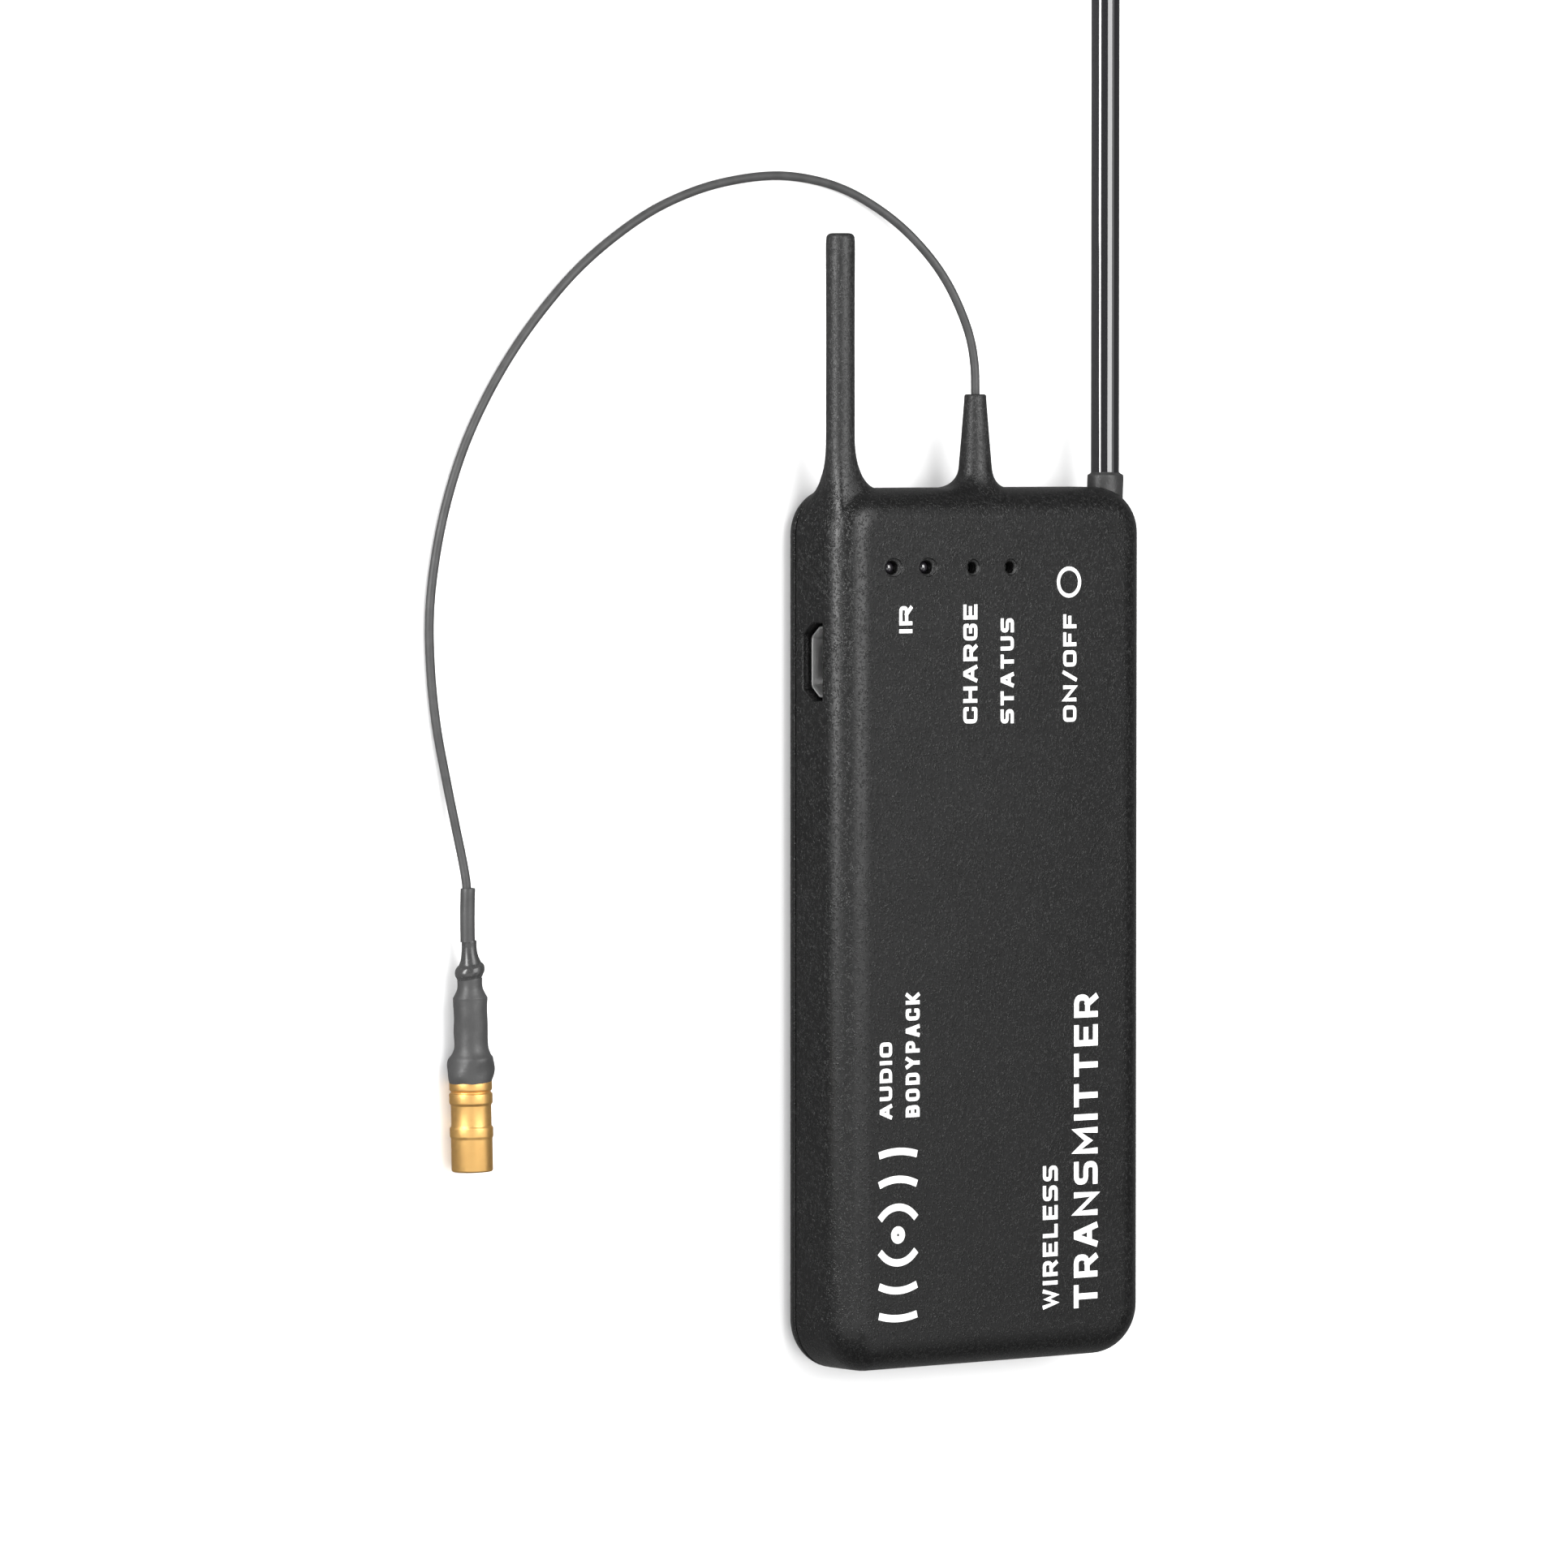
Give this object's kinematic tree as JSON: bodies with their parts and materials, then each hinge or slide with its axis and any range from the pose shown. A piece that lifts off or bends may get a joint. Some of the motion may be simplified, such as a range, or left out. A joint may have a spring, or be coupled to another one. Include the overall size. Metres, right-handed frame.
{
  "type": "wireless bodypack transmitter",
  "caption": "Slim rubber-skinned wireless bodypack transmitter with a whip antenna, a stub antenna and a short coaxial microphone lead.",
  "frame": {"origin": "centre of the flat rear face, which rests on the surface", "axes": "+X to the right across the front face, +Y towards the antennas, +Z out of the front face"},
  "size_m": [0.0898, 0.2101, 0.0108],
  "materials": {
    "skin_rubber": "fine moulded leather grain, soft sheen",
    "collar_rubber": "matt, rough",
    "silicone": "smooth silicone",
    "whip_gloss": "high gloss black",
    "cord_jacket": "satin extruded jacket",
    "shrink_sleeve": "satin heat-shrink",
    "glue_gloss": "glossy glue-lined shrink",
    "gold_plate": "turned and gold plated",
    "white_insulator": "machined fluoropolymer or nylon",
    "steel": "drawn nickel-plated steel",
    "black_plastic": "moulded, matt",
    "grey_plastic": "moulded, matt",
    "dark_window": "polished infrared-dark plastic",
    "clear_window": "polished clear plastic",
    "board_green": "solder mask over glass-fibre board",
    "tin_plate": "tin-plated sheet",
    "copper_wire": "enamelled copper winding",
    "battery_pouch": "crimped foil pouch",
    "foam_grey": "closed-cell foam",
    "red_wire": "insulated wire",
    "black_wire": "insulated wire"
  },
  "bodies": {
    "pack": {"front_skin": "skin_rubber", "rear_cover": "skin_rubber", "stub_antenna_sleeve": "skin_rubber", "cable_boot": "skin_rubber", "antenna_collar": "collar_rubber", "seam_seal": "silicone", "whip_jacket": "whip_gloss", "whip_tip_cap": "whip_gloss", "whip_core_wire": "steel", "stub_antenna_rod": "steel", "stub_feed_clip": "tin_plate", "whip_feed_clip": "tin_plate", "lead_cord": "cord_jacket", "lead_inner_end": "cord_jacket", "lead_ferrule": "tin_plate", "lead_socket": "black_plastic", "lead_thin_sleeve": "shrink_sleeve", "lead_glue_bead": "glue_gloss", "lead_wide_sleeve": "shrink_sleeve", "plug_body": "gold_plate", "plug_contact": "gold_plate", "plug_insulator": "white_insulator", "switch_body": "steel", "ir_emitter": "black_plastic", "ir_receiver": "black_plastic", "ir_window_emitter": "dark_window", "ir_window_receiver": "dark_window", "charge_led": "black_plastic", "status_led": "black_plastic", "charge_light_pipe": "clear_window", "status_light_pipe": "clear_window", "usb_shell": "steel", "usb_tongue": "black_plastic", "chassis_frame": "grey_plastic", "board_screw_1": "steel", "board_screw_2": "steel", "board_screw_3": "steel", "board_screw_4": "steel", "main_board": "board_green", "rf_shield_can": "tin_plate", "rf_module_chip": "black_plastic", "audio_shield_can": "tin_plate", "audio_converter_chip": "black_plastic", "processor_chip": "black_plastic", "memory_chip": "black_plastic", "crystal_can": "tin_plate", "charger_chip": "black_plastic", "power_coil": "copper_wire", "battery_cell": "battery_pouch", "battery_foam_pad": "foam_grey", "battery_protection_board": "board_green", "battery_header": "white_insulator", "battery_plug": "white_insulator", "battery_lead_red": "red_wire", "battery_lead_black": "black_wire"},
    "button": {"power_button": "skin_rubber", "switch_plunger": "grey_plastic"}
  },
  "joints": [
    {"name": "button_press", "type": "slide", "parent": "pack", "child": "button", "axis": [0, 0, -1], "range_m": [0, 0.00025], "stiffness_N_per_m": 4000}
  ]
}
